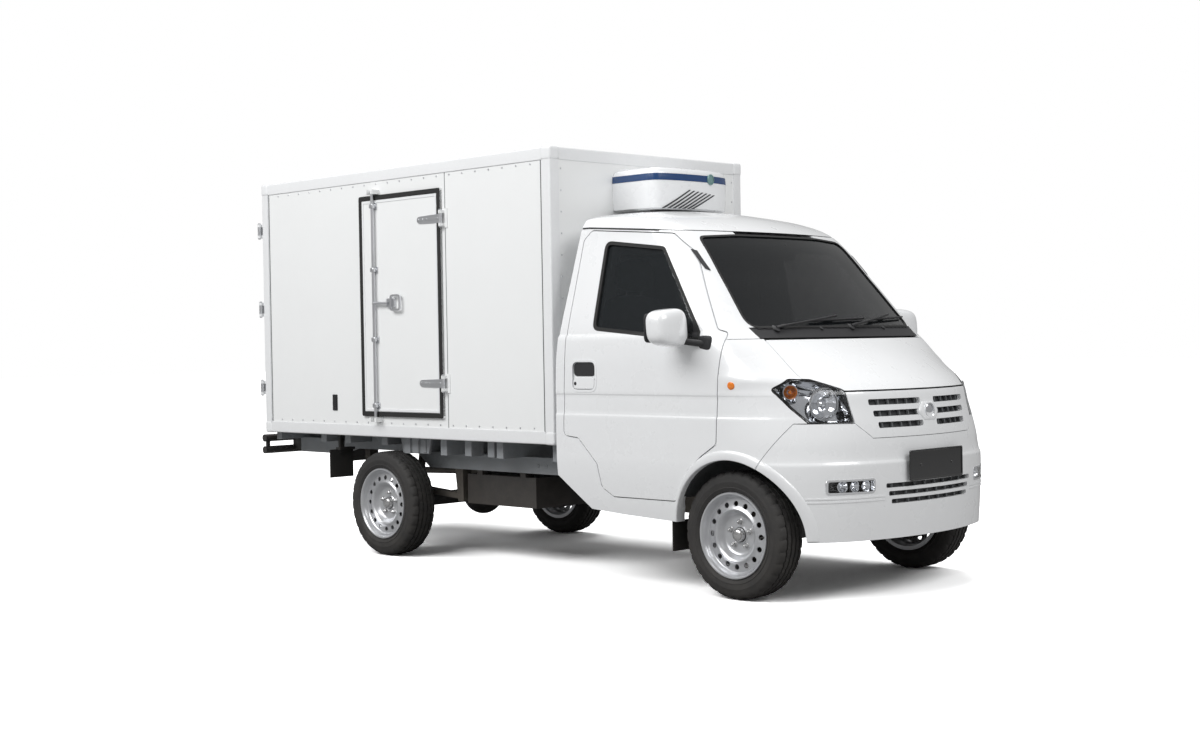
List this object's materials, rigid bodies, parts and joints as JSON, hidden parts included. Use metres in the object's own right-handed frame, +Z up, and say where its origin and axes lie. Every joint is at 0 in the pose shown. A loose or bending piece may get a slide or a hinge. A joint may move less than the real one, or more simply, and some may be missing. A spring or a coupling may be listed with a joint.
{
  "type": "refrigerated truck",
  "caption": "Small refrigerated truck: short-nosed two-door cab, insulated load box with a side door and twin rear doors, and a refrigeration unit over the cab.",
  "frame": {"origin": "centre of the truck's outline on the ground", "axes": "+X forward, +Y to the left, +Z up"},
  "size_m": [4.2947, 1.97, 2.1039],
  "materials": {
    "body_white": "gloss white paint",
    "box_white": "white panel skin",
    "trim_black": "black moulded plastic",
    "trim_grey": "grey moulded plastic",
    "glass": "tinted glass",
    "lamp": "clear lamp with bright reflector",
    "lamp_red": "red lens",
    "chassis_grey": "grey chassis paint",
    "chassis_black": "black chassis paint",
    "tyre": "black rubber",
    "rim": "silver paint",
    "rubber": "black rubber",
    "fabric": "grey seat cloth",
    "zinc": "zinc plated steel",
    "iron": "cast iron",
    "aluminium": "anodised profile"
  },
  "bodies": {
    "chassis": {"fender_right": "body_white", "fender_left": "body_white", "cab_side_right": "body_white", "cab_side_left": "body_white", "roof": "body_white", "rear_panel": "body_white", "bumper": "body_white", "box_roof": "box_white", "box_front_wall": "box_white", "box_left_wall": "box_white", "box_right_wall": "box_white", "refrigeration_unit": "box_white", "box_edge_frame": "box_white", "evaporator": "box_white", "box_floor": "aluminium", "cowl": "trim_black", "grille": "body_white", "dashboard": "trim_grey", "cab_floor": "chassis_black", "windshield": "glass", "rear_window": "glass", "front_lamps": "lamp", "tail_lamps": "lamp_red", "frame": "chassis_grey", "rear_bumper": "chassis_black", "front_suspension": "chassis_black", "rear_axle": "chassis_black", "rear_springs": "chassis_black", "fuel_tank": "chassis_black", "radiator": "chassis_black", "engine": "iron", "mud_flaps": "rubber", "seats": "fabric"},
    "hood": {"hood": "body_white"},
    "cab_door_right": {"door_right": "body_white", "door_glass_right": "glass", "mirror_right": "body_white"},
    "cab_door_left": {"door_left": "body_white", "door_glass_left": "glass", "mirror_left": "body_white"},
    "steering_wheel": {"steering_wheel": "trim_grey"},
    "side_door": {"side_door": "box_white", "side_door_lock": "zinc"},
    "rear_door_right": {"rear_door_right": "box_white", "rear_door_lock_right": "zinc"},
    "rear_door_left": {"rear_door_left": "box_white", "rear_door_lock_left": "zinc"},
    "knuckle_right": {"knuckle_right": "iron"},
    "knuckle_left": {"knuckle_left": "iron"},
    "wheel_front_right": {"tyre_front_right": "tyre", "rim_front_right": "rim"},
    "wheel_front_left": {"tyre_front_left": "tyre", "rim_front_left": "rim"},
    "wheel_rear_right": {"tyre_rear_right": "tyre", "rim_rear_right": "rim"},
    "wheel_rear_left": {"tyre_rear_left": "tyre", "rim_rear_left": "rim"}
  },
  "joints": [
    {"name": "hood_hinge", "type": "hinge", "parent": "chassis", "child": "hood", "pos_m": [1.6615, 0, 1.138], "axis": [0, -1, 0], "range_deg": [0, 50]},
    {"name": "cab_door_right_hinge", "type": "hinge", "parent": "chassis", "child": "cab_door_right", "pos_m": [1.5135, -0.7705, 0.845], "axis": [0, 0, 1], "range_deg": [0, 68]},
    {"name": "cab_door_left_hinge", "type": "hinge", "parent": "chassis", "child": "cab_door_left", "pos_m": [1.5135, 0.7705, 0.845], "axis": [0, 0, -1], "range_deg": [0, 68]},
    {"name": "side_door_hinge", "type": "hinge", "parent": "chassis", "child": "side_door", "pos_m": [-0.3885, -0.735, 1.375], "axis": [0, 0, 1], "range_deg": [0, 165]},
    {"name": "rear_door_right_hinge", "type": "hinge", "parent": "chassis", "child": "rear_door_right", "pos_m": [-2.0825, -0.725, 1.372], "axis": [0, 0, 1], "range_deg": [0, 255]},
    {"name": "rear_door_left_hinge", "type": "hinge", "parent": "chassis", "child": "rear_door_left", "pos_m": [-2.0825, 0.725, 1.372], "axis": [0, 0, -1], "range_deg": [0, 255]},
    {"name": "steer_right", "type": "hinge", "parent": "chassis", "child": "knuckle_right", "pos_m": [1.5795, -0.6, 0.17], "axis": [0, 0.2474, 0.9689], "range_deg": [-35, 35]},
    {"name": "steer_left", "type": "hinge", "parent": "chassis", "child": "knuckle_left", "pos_m": [1.5795, 0.6, 0.17], "axis": [0, -0.2474, 0.9689], "range_deg": [-35, 35]},
    {"name": "steering_column", "type": "hinge", "parent": "chassis", "child": "steering_wheel", "pos_m": [1.2495, 0.36, 1.06], "axis": [-0.7071, 0, 0.7071], "range_deg": [-420, 420]},
    {"name": "spin_front_right", "type": "hinge", "parent": "knuckle_right", "child": "wheel_front_right", "pos_m": [1.5795, -0.655, 0.285], "axis": [0, 1, 0], "continuous": true},
    {"name": "spin_front_left", "type": "hinge", "parent": "knuckle_left", "child": "wheel_front_left", "pos_m": [1.5795, 0.655, 0.285], "axis": [0, 1, 0], "continuous": true},
    {"name": "spin_rear_right", "type": "hinge", "parent": "chassis", "child": "wheel_rear_right", "pos_m": [-0.9355, -0.655, 0.285], "axis": [0, 1, 0], "continuous": true},
    {"name": "spin_rear_left", "type": "hinge", "parent": "chassis", "child": "wheel_rear_left", "pos_m": [-0.9355, 0.655, 0.285], "axis": [0, 1, 0], "continuous": true}
  ],
  "couplings": [
    {"joint": "steer_left", "follows": "steer_right", "ratio": 1},
    {"joint": "steering_column", "follows": "steer_right", "ratio": 12}
  ]
}
